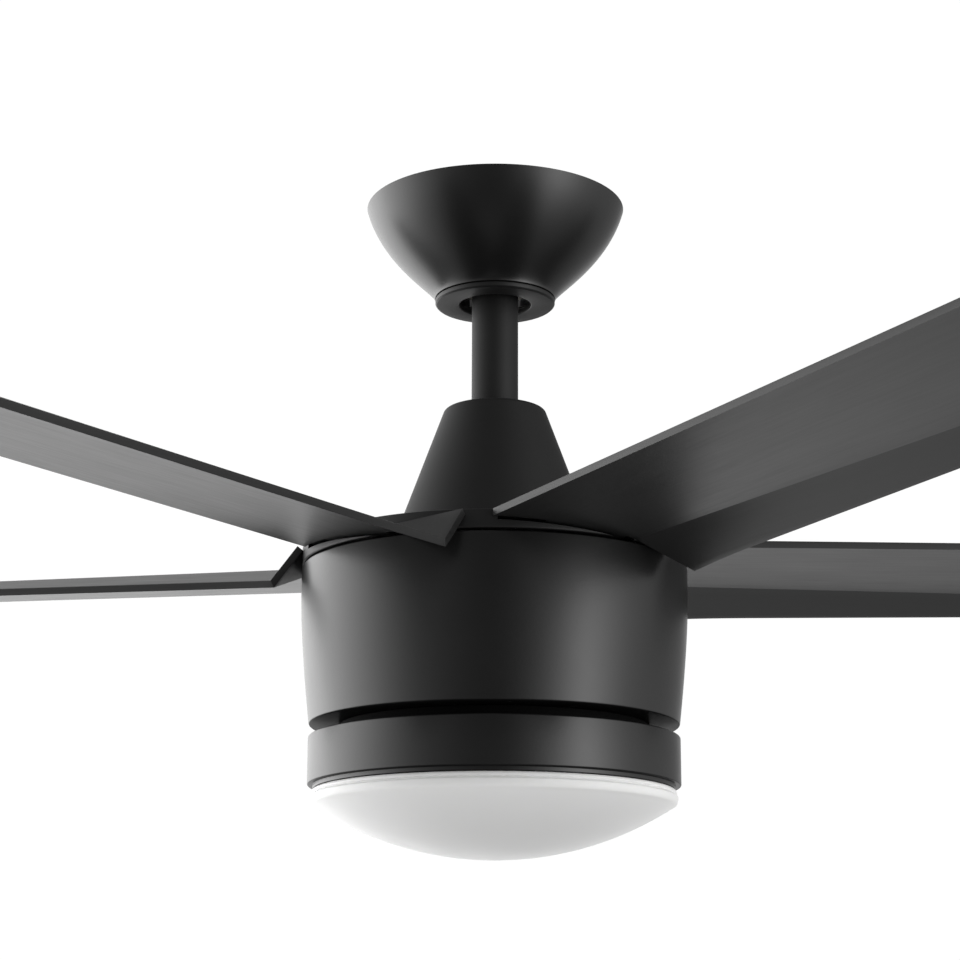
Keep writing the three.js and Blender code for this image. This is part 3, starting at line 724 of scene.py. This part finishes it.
def make_bowl():
    """The bowl: an upright neck in the light ring, a shoulder under its lip, and a domed cap."""
    rim, bottom, top = size("diffuser_bowl")
    depth = CAP_TOP - bottom
    cap = (CAP_RIM ** 2 + depth ** 2) / (2 * depth)
    centre = bottom + cap

    def dome(radius, edge_radius, steps=36):
        edge = math.asin(edge_radius / radius)
        angles = [edge * k / steps for k in range(steps + 1)]
        return [(radius * math.sin(a), centre - radius * math.cos(a)) for a in angles]

    outer = dome(cap, CAP_RIM)[::-1]
    inner = dome(cap - BOWL_WALL, CAP_RIM - BOWL_WALL)
    upper = rounded([
        (BOWL_NECK - BOWL_WALL, BOWL_SHOULDER - 4 * MM, 1.5 * MM),
        (BOWL_NECK - BOWL_WALL, top, 0.8 * MM),
        (BOWL_NECK, top, 0.8 * MM),
        (BOWL_NECK, BOWL_SHOULDER, 0.4 * MM),
        (BAND_LIP, BOWL_SHOULDER, 0.5 * MM),
        (rim, BOWL_SHOULDER - 1.9 * MM, 1.0 * MM),
    ])
    side_top = (rim, BOWL_SHOULDER - 3.6 * MM)
    side = bezier(side_top, (rim, CAP_TOP + 0.6 * MM), (CAP_RIM, CAP_TOP), 12)
    bowl = revolve("opal_bowl", upper + [side_top] + side + outer[1:] + inner)
    for angle in LUG_ANGLES:
        lug = sector("lug", BOWL_NECK - LUG_ROOT, LUG_RADIUS, LUG_HALF, *LUG_HEIGHTS)
        boolean(bowl, turned(lug, angle), "UNION")
    mark_sharp(bowl.data)
    finished(bowl, OPAL, "opal_glass", "light_cover", "diffuser_bowl")


def make_hanger_ball():
    """The ball at the rod's top: flat ends, a bore for the rod, and a slot for the bracket's key."""
    radius, bottom, top = size("hanger_ball")
    low_flat, high_flat = (
        math.sqrt(radius ** 2 - (z - BALL_CENTRE) ** 2) - 0.4 * MM for z in (bottom, top)
    )
    outline = [(BALL_BORE, bottom), (low_flat, bottom)]
    outline += ball_profile(BALL_CENTRE, radius, bottom, top, 28)[1:-1]
    outline += [(high_flat, top), (BALL_BORE, top)]
    hanger = revolve("hanger_ball_body", outline, 128)
    boolean(hanger, mesh_box("key_slot", *BALL_KEY))
    cross_hole(hanger, "ball_pin")
    boolean(hanger, round_cutter(SET_SCREW_HOLE, BALL_CENTRE, 0, 0, SET_SCREW_PLACE))
    soften(hanger, 0.4 * MM, 40, 2)
    finished(hanger, NYLON, "nylon", "hanging", "hanger_ball")


# ---- the rotor and its blades -----------------------------------------------------------------

BLADES = 5
FIRST_HEADING = -58.6
THICKNESS = 3.9 * MM

# A blade is drawn along X, with its leading edge towards -Y. A place on it is a distance from the
# axis, u, an offset towards the leading edge, and a height.
ROOT_U = 105 * MM
TIP_U = 656 * MM
LINE_END_U = 660 * MM
TIP_CORNER = 18 * MM
TIP_STRIPS = 103.4 * MM  # spaces the strips that make the tip's rounded corner
RIM_CLEAR = 106.2 * MM  # the blade's root follows the hub's rim at this radius
# Its straight lines, as (offset, height) in millimetres at the root and at LINE_END_U.
LEAD = ((55.9, -199.0), (51.4, -174.1))
CREASE = ((-23.4, -205.1), (-45.7, -186.8))
TRAIL = ((-56.9, -218.0), (-54.9, -191.0))
# The upper corner of the flap at its root.
FLAP_TOP = (92.1 * MM, -57.6 * MM, -200 * MM)
# How far the trailing edge swells on its way into the root's fold, and over what length.
HEEL = (2.2 * MM, -2.6 * MM, -0.4 * MM)
HEEL_REACH = 60 * MM
# The tongue through the hub's rim: its inner end and its two edges.
TONGUE_U = 62 * MM
TONGUE_LEAD = 30 * MM
TONGUE_TRAIL = -16 * MM
BLADE_SCREWS = ((74 * MM, 22 * MM), (74 * MM, -8 * MM))  # (u, offset)
BLADE_SCREW_HOLE = 2.5 * MM

HUB_HOLE = 30 * MM
HUB_PLATE = 1.6 * MM
HUB_RIM = 3 * MM
ROOT_GAP = 1.3 * MM  # the dark gap in the hub's rim under a blade's root
# How far from the axis the cutters through the rim start and end.
SLOT_START = 96 * MM
ROOT_GAP_START = 84 * MM
SLOT_END = 112 * MM


def heading(index):
    return FIRST_HEADING + 360 / BLADES * index


def on_blade(u, offset, height):
    """A place on the blade as x, y, z."""
    return Vector((u, -offset, height))


def on_line(line, u):
    """Offset and height on one of the blade's straight lines."""
    t = (u - ROOT_U) / (LINE_END_U - ROOT_U)
    (s0, z0), (s1, z1) = line
    return (s0 + (s1 - s0) * t) * MM, (z0 + (z1 - z0) * t) * MM


def between(first, second, u, share):
    """A point on the facet between two lines."""
    (s0, z0), (s1, z1) = on_line(first, u), on_line(second, u)
    return on_blade(u, s0 + (s1 - s0) * share, z0 + (z1 - z0) * share)


def trailing_point(u, share):
    """A point on the trailing facet, with its swelling near the root."""
    pull = max(0.0, 1 - (u - ROOT_U) / HEEL_REACH) ** 2 * share
    return between(CREASE, TRAIL, u, share) + on_blade(*HEEL) * pull


def rim_u(share):
    """Where a strip of the leading facet meets the hub's rim, found by repeated steps."""
    u = RIM_CLEAR
    for _ in range(30):
        s = between(CREASE, LEAD, u, share).y
        u = math.sqrt(RIM_CLEAR ** 2 - s ** 2)
    return u


def lead_share(offset):
    """How far across the leading facet an offset lies at the root, from the crease at 0."""
    return (offset / MM - CREASE[0][0]) / (LEAD[0][0] - CREASE[0][0])


def tip_u(near, edge, share, radius):
    """The blade's end on a strip between a line and an edge, with the corner rounded."""
    inside = (1 - share) * abs(edge[1][0] - near[1][0]) * MM
    if inside >= radius:
        return TIP_U
    return TIP_U - radius + math.sqrt(radius ** 2 - (radius - inside) ** 2)


def grid(bm, rows):
    """Faces between rows of vertices. Rows may share a vertex."""
    for low, high in zip(rows, rows[1:]):
        for k in range(len(low) - 1):
            corners = list(dict.fromkeys([low[k], low[k + 1], high[k + 1], high[k]]))
            if len(corners) > 2:
                bm.faces.new(corners)


def leading_shares():
    """Where the strips of the leading facet lie, and those of them that run on into the tongue."""
    low, high = lead_share(TONGUE_TRAIL), lead_share(TONGUE_LEAD)
    on_tongue = [low] + [low + (high - low) * k / 5 for k in range(1, 5)] + [high]
    beside_it = [0.76, 0.86]
    angles = (0.35, 0.7, 1.0, 1.25, 1.45)
    on_corner = [1 - TIP_CORNER * (1 - math.sin(a)) / TIP_STRIPS for a in angles]
    return sorted([0.0, *on_tongue, *beside_it, *on_corner, 1.0]), on_tongue


def tongue_row(bm, strip):
    """A strip of the leading facet, run on inwards through the hub's rim."""
    edge, following = strip[0].co, strip[1].co
    slope = (following.z - edge.z) / (following.x - edge.x)
    us = [TONGUE_U + (edge.x - TONGUE_U) * k / 4 for k in range(4)]
    return [bm.verts.new((u, edge.y, edge.z + slope * (u - edge.x))) for u in us] + [strip[0]]


def flap_rows(bm, root):
    """The flap folded up from the trailing facet's root, kept clear of the hub's rim."""
    corner = root[0].co.copy()
    top = on_blade(*FLAP_TOP)
    rows = [root]
    for share in (1 / 3, 2 / 3, 1.0):
        row = [root[0]]
        for vertex in root[1:]:
            along = (vertex.co - corner).length / (root[-1].co - corner).length
            p = vertex.co.lerp(corner.lerp(top, along), share)
            radius = math.hypot(p.x, p.y)
            if radius < RIM_CLEAR:
                p = Vector((p.x * RIM_CLEAR / radius, p.y * RIM_CLEAR / radius, p.z))
            row.append(bm.verts.new(p))
        rows.append(row)
    return rows


def blade_mesh():
    """The blade's upper skin: leading facet with its tongue, trailing facet and root flap."""
    bm = bmesh.new()
    stations = [(k / 40) ** 1.3 for k in range(41)]  # from root to tip, closer together at the root

    shares, on_tongue = leading_shares()
    strips = {}
    for share in shares:
        start = rim_u(share) if share else ROOT_U
        length = tip_u(CREASE, LEAD, share, TIP_CORNER) - start
        line = [between(CREASE, LEAD, start + length * t, share) for t in stations]
        strips[share] = [bm.verts.new(point) for point in line]
    grid(bm, list(strips.values()))
    grid(bm, [tongue_row(bm, strips[share]) for share in on_tongue])

    facet = [strips[0.0]]
    for share in (0.25, 0.5, 0.75, 0.9, 1.0):
        length = tip_u(CREASE, TRAIL, share, TIP_CORNER / 2) - ROOT_U
        facet.append([bm.verts.new(trailing_point(ROOT_U + length * t, share)) for t in stations])
    grid(bm, facet)
    grid(bm, flap_rows(bm, [row[0] for row in facet]))

    bmesh.ops.recalc_face_normals(bm, faces=bm.faces)
    up = sum(face.normal.z * face.calc_area() for face in bm.faces)
    if up < 0:
        bmesh.ops.reverse_faces(bm, faces=bm.faces)
    mesh = bpy.data.meshes.new("blade")
    bm.to_mesh(mesh)
    bm.free()
    return mesh


def make_blades():
    first = new_object("fan_blade_1", blade_mesh())
    skin = first.modifiers.new("thickness", "SOLIDIFY")
    skin.thickness = THICKNESS
    skin.offset = -1
    skin.use_even_offset = True
    skin.use_quality_normals = True
    apply_modifiers(first)
    for u, offset in BLADE_SCREWS:
        boolean(first, round_cutter(BLADE_SCREW_HOLE, -230 * MM, -190 * MM, u, -offset))
    soften(first, 1.0 * MM, 13, 4)
    for i in range(BLADES):
        blade = first if i == 0 else new_object(f"fan_blade_{i + 1}", first.data.copy())
        blade.rotation_euler.z = math.radians(heading(i))
        finished(blade, BLADE, "black_blade", "rotor", f"blade_{i + 1}")


def make_hub():
    radius, bottom, top = size("blade_hub")
    wall = radius - HUB_RIM
    outline = rounded([
        (HUB_HOLE, top - HUB_PLATE, 0.3 * MM),
        (wall, top - HUB_PLATE, 0.5 * MM),
        (wall, bottom, 0.3 * MM),
        (radius, bottom, 0.9 * MM),
        (radius, top, 0.7 * MM),
        (HUB_HOLE, top, 0.4 * MM),
    ])
    hub = revolve("rotor_hub", outline)
    for i in range(BLADES):
        for cutter in (tongue_cutter(), root_gap_cutter()):
            boolean(hub, turned(cutter, heading(i)))
    mark_sharp(hub.data)
    # The hub's darker matt coat is partly painted shade under the blades' roots.
    finished(hub, PAINT_MATT, "black_paint", "rotor", "blade_hub")


def tongue_cutter():
    """The space that one blade's tongue takes through the hub's rim."""
    shares = [lead_share(TONGUE_TRAIL - GAP), lead_share(TONGUE_LEAD + GAP)]
    return root_cutter(shares, SLOT_START, GAP, -THICKNESS - GAP)


def root_gap_cutter():
    """The dark gap along the rim, under almost the whole width of a blade's root."""
    return root_cutter((0.02, 0.97), ROOT_GAP_START, -0.6 * THICKNESS, -THICKNESS - ROOT_GAP)


def root_cutter(shares, start, upper, lower):
    """A slab in line with the leading facet, between two shares of it, out through the hub's rim."""
    points = []
    for drop in (upper, lower):
        for u, k in ((start, 0), (SLOT_END, 0), (SLOT_END, 1), (start, 1)):
            points.append(between(CREASE, LEAD, u, shares[k]) + Vector((0, 0, drop)))
    faces = [(0, 1, 2, 3), (7, 6, 5, 4), (0, 4, 5, 1), (1, 5, 6, 2), (2, 6, 7, 3), (3, 7, 4, 0)]
    return new_object("slot", mesh_from("slot", points, faces))


def pan_head(head, height, shank, length):
    """A pan-head screw pointing down, its seat at height 0, with a cross recess."""
    rise = (0.0, 0.35, 0.7, 1.05, 1.35)
    crown = [(head * math.cos(a), height * 0.25 + height * 0.75 * math.sin(a)) for a in rise]
    outline = [(0, -length), (shank * 0.7, -length), (shank, -length + 0.5 * MM), (shank, 0)]
    outline += [(head - 0.2 * MM, 0), (head, 0.2 * MM)] + crown + [(0, height)]
    screw = revolve("screw_pattern", outline, 48)
    reach, half_slot, floor = head * 0.55, 0.45 * MM, height * 0.45
    for degrees in (0, 90):
        arm = mesh_box("recess", (-reach, -half_slot, floor), (reach, half_slot, height * 2))
        boolean(screw, turned(arm, degrees))
    mark_sharp(screw.data)
    return screw


def place_screws(names, head, height, shank, upwards, body, material):
    """Detailed screws where the CAD has plain ones. All of one kind share a shape."""
    low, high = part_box(names[0])
    pattern = pan_head(head, height, shank, high.z - low.z - height)
    turn = Matrix.Rotation(math.pi, 4, "X") if upwards else Matrix.Identity(4)
    for name in names:
        low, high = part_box(name)
        x, y, _ = (low + high) / 2
        seat = low.z + height if upwards else high.z - height
        # Each screw's recess points another way.
        spin = Matrix.Rotation(x * 37 + y * 53, 4, "Z")
        screw = new_object(name + "_detailed", pattern.data.copy())
        screw.data.transform(Matrix.Translation((x, y, seat)) @ spin @ turn)
        finished(screw, material, "steel", body, name)
    bpy.data.objects.remove(pattern)


def make_screws():
    on_blades = [f"blade_screw_{i}_{k}" for i in range(1, BLADES + 1) for k in (1, 2)]
    on_canopy = ["canopy_screw_1", "canopy_screw_2"]
    in_ceiling = ["ceiling_screw_1", "ceiling_screw_2"]
    place_screws(on_blades, 4.2 * MM, 2.0 * MM, 2.2 * MM, False, "rotor", SCREW)
    place_screws(on_canopy, 3.0 * MM, 1.6 * MM, 1.8 * MM, True, "ceiling_mount", SCREW)
    place_screws(in_ceiling, 4.2 * MM, 2.6 * MM, 2.2 * MM, True, "ceiling_mount", ZINC)


# ---- pieces that keep their CAD shape ---------------------------------------------------------


def refined(node, name, width, material, slot, body):
    """A piece with the CAD node's shape, its flats made whole and its edges rounded."""
    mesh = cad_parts[node].data.copy()
    mesh.materials.clear()
    bm = bmesh.new()
    bm.from_mesh(mesh)
    bmesh.ops.remove_doubles(bm, verts=bm.verts, dist=TINY)
    bmesh.ops.dissolve_limit(bm, angle_limit=math.radians(0.5), verts=bm.verts, edges=bm.edges)
    bm.to_mesh(mesh)
    bm.free()
    obj = new_object(name, mesh)
    soften(obj, width, 35, 2)
    finished(obj, material, slot, body, node)


def finish_inner_parts():
    mount = "ceiling_mount"
    refined("mounting_bracket", "ceiling_bracket", 0.35 * MM, ZINC, "zinc_plate", mount)
    refined("remote_receiver", "receiver_case", 1.2 * MM, BLACK_PLASTIC, "dark_plastic", mount)
    refined("yoke", "coupling_yoke", 0.4 * MM, ZINC, "zinc_plate", "hanging")
    refined("lead_plug", "lead_connector", 0.8 * MM, NYLON, "nylon", "hanging")
    refined("led_driver", "driver_case", 1.0 * MM, NYLON, "nylon", "hanging")
    kept = {
        STEEL: [
            "ball_pin", "ball_set_screw",
            "yoke_pin", "yoke_pin_clip", "yoke_set_screw_1", "yoke_set_screw_2",
            "motor_shaft", "upper_bearing", "lower_bearing",
            "housing_screw_1", "housing_screw_2", "housing_screw_3",
        ],
        ZINC: ["shaft_nut"],
        LAMINATION: ["stator_core"],
        COPPER: ["stator_windings"],
        FERRITE: ["magnet_ring"],
        CAST: ["rotor_case_top", "rotor_case_bottom", "heat_spreader"],
        BOARD: ["led_board"],
        BLACK_PLASTIC: ["motor_lead"],
    }
    for material, names in kept.items():
        for name in names:
            give(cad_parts[name], material)


# ---- camera, light and surroundings -----------------------------------------------------------

CAMERA_PLACE = (0, -1.2168, -0.4632)
CAMERA_ANGLES = (-0.384, 14.067, 0.218)  # to the right, up, and round its own line of sight
CAMERA_LENS = 84.66
CAMERA_SENSOR = 36


def make_camera():
    """A camera in front of the fan and a little below it, looking up."""
    data = bpy.data.cameras.new("camera")
    data.lens = CAMERA_LENS
    data.sensor_width = CAMERA_SENSOR
    camera = bpy.data.objects.new("camera", data)
    bpy.context.scene.collection.objects.link(camera)
    yaw, pitch, roll = (math.radians(angle) for angle in CAMERA_ANGLES)
    camera.matrix_world = (
        Matrix.Translation(CAMERA_PLACE)
        @ Matrix.Rotation(-yaw, 4, "Z")
        @ Matrix.Rotation(math.pi / 2 + pitch, 4, "X")
        @ Matrix.Rotation(roll, 4, "Z")
    )
    bpy.context.scene.camera = camera


# The room's brightness at eye level, as (degrees from the camera's side towards +X, brightness):
# a broad soft light on the left, a narrower one on the right and a weak one behind.
LEVEL_LIGHT = (
    (-180, 1.5), (-150, 2.3), (-124, 4.0), (-100, 3.8), (-84, 3.0), (-68, 1.65), (-50, 0.7),
    (-28, 0.34), (-5, 0.1), (8, 0.1), (24, 0.5), (36, 1.5), (56, 4.8), (70, 2.4), (86, 1.05),
    (104, 0.65), (127, 0.4), (150, 0.35), (180, 1.5),
)
# How that fades above and below eye level, as (degrees up, share).
FADE = (
    (-90, 0.0), (-55, 0.08), (-32, 0.42), (-15, 0.95), (0, 1.0),
    (18, 0.92), (32, 0.45), (50, 0.08), (90, 0.05),
)
# The light from the floor and the ceiling, as (degrees up, brightness).
FLOOR_AND_CEILING = (
    (-90, 0.8), (-68, 0.42), (-48, 0.13), (-30, 0.06), (-15, 0.03), (25, 0.0), (50, 0.16), (90, 0.4),
)


def make_world():
    """Soft room light as a brightness for each direction."""
    world = bpy.data.worlds.new("studio")
    bpy.context.scene.world = world
    world.use_nodes = True
    tree = world.node_tree

    def maths(operation, a, b=1.0):
        node = tree.nodes.new("ShaderNodeMath")
        node.operation = operation
        for value, socket in zip((a, b), node.inputs):
            if isinstance(value, float):
                socket.default_value = value
            else:
                tree.links.new(value, socket)
        return node.outputs["Value"]

    def curve(radians, points):
        """The brightness at an angle, from points of (degrees, brightness)."""
        low, high = math.radians(points[0][0]), math.radians(points[-1][0])
        span = tree.nodes.new("ShaderNodeMapRange")
        span.inputs["From Min"].default_value = low
        span.inputs["From Max"].default_value = high
        tree.links.new(radians, span.inputs["Value"])
        node = tree.nodes.new("ShaderNodeValToRGB")
        elements = node.color_ramp.elements
        for k, (degrees, level) in enumerate(points):
            place = (math.radians(degrees) - low) / (high - low)
            if 0 < k < len(points) - 1:
                element = elements.new(place)
            else:
                element = elements[0 if k == 0 else -1]
            element.color = (level, level, level, 1)
        tree.links.new(span.outputs["Result"], node.inputs["Fac"])
        return node.outputs["Color"]

    direction = tree.nodes.new("ShaderNodeTexCoord").outputs["Generated"]
    split = tree.nodes.new("ShaderNodeSeparateXYZ")
    tree.links.new(direction, split.inputs[0])
    x, y, z = split.outputs
    azimuth = maths("ARCTAN2", x, maths("MULTIPLY", y, -1.0))
    height = maths("ARCSINE", z)
    level = maths("MULTIPLY", curve(azimuth, LEVEL_LIGHT), curve(height, FADE))
    strength = maths("ADD", level, curve(height, FLOOR_AND_CEILING))
    tree.links.new(strength, tree.nodes["Background"].inputs["Strength"])
    tree.nodes["Background"].inputs["Color"].default_value = (1, 1, 1, 1)


FLOOR_HEIGHT = -4.7
FLOOR_HALF = 9
BACKDROP_RADIUS = 14


def make_floor():
    corners = [(-1, -1), (1, -1), (1, 1), (-1, 1)]
    points = [(x * FLOOR_HALF, y * FLOOR_HALF, 0) for x, y in corners]
    floor = new_object("floor", mesh_from("floor", points, [(0, 1, 2, 3)]))
    floor.location.z = FLOOR_HEIGHT
    n = Nodes("pale floor")
    n.colour(n.ramp(n.noise(1.5, 4), 0.3, 0.8, [grey(0.80), grey(0.84)]))
    n.set("Roughness", 0.7)
    n.set("Emission Color", (1, 1, 1, 1))
    n.set("Emission Strength", 0.3)
    return give(floor, n.material)


def make_backdrop():
    bm = bmesh.new()
    bmesh.ops.create_uvsphere(bm, u_segments=48, v_segments=24, radius=BACKDROP_RADIUS)
    mesh = bpy.data.meshes.new("backdrop")
    bm.to_mesh(mesh)
    bm.free()
    n = Nodes("white backdrop")
    n.set("Base Color", (0, 0, 0, 1))
    n.set("Emission Color", (1, 1, 1, 1))
    n.set("Emission Strength", 1.0)
    return give(new_object("backdrop", mesh), n.material)


def make_surroundings():
    """A pale floor and a white backdrop that only the camera sees."""
    floor, backdrop = make_floor(), make_backdrop()
    for stage in (floor, backdrop):
        for ray in ("diffuse", "glossy", "transmission", "shadow", "volume_scatter"):
            setattr(stage, "visible_" + ray, False)


make_camera()
make_world()
make_surroundings()
bpy.context.scene.view_settings.view_transform = "Standard"

make_canopy()
make_canopy_ring()
make_downrod()
make_hanger_ball()
make_cone()
make_housing()
make_neck()
make_light_ring()
make_bowl()
make_hub()
make_blades()
make_screws()
finish_inner_parts()
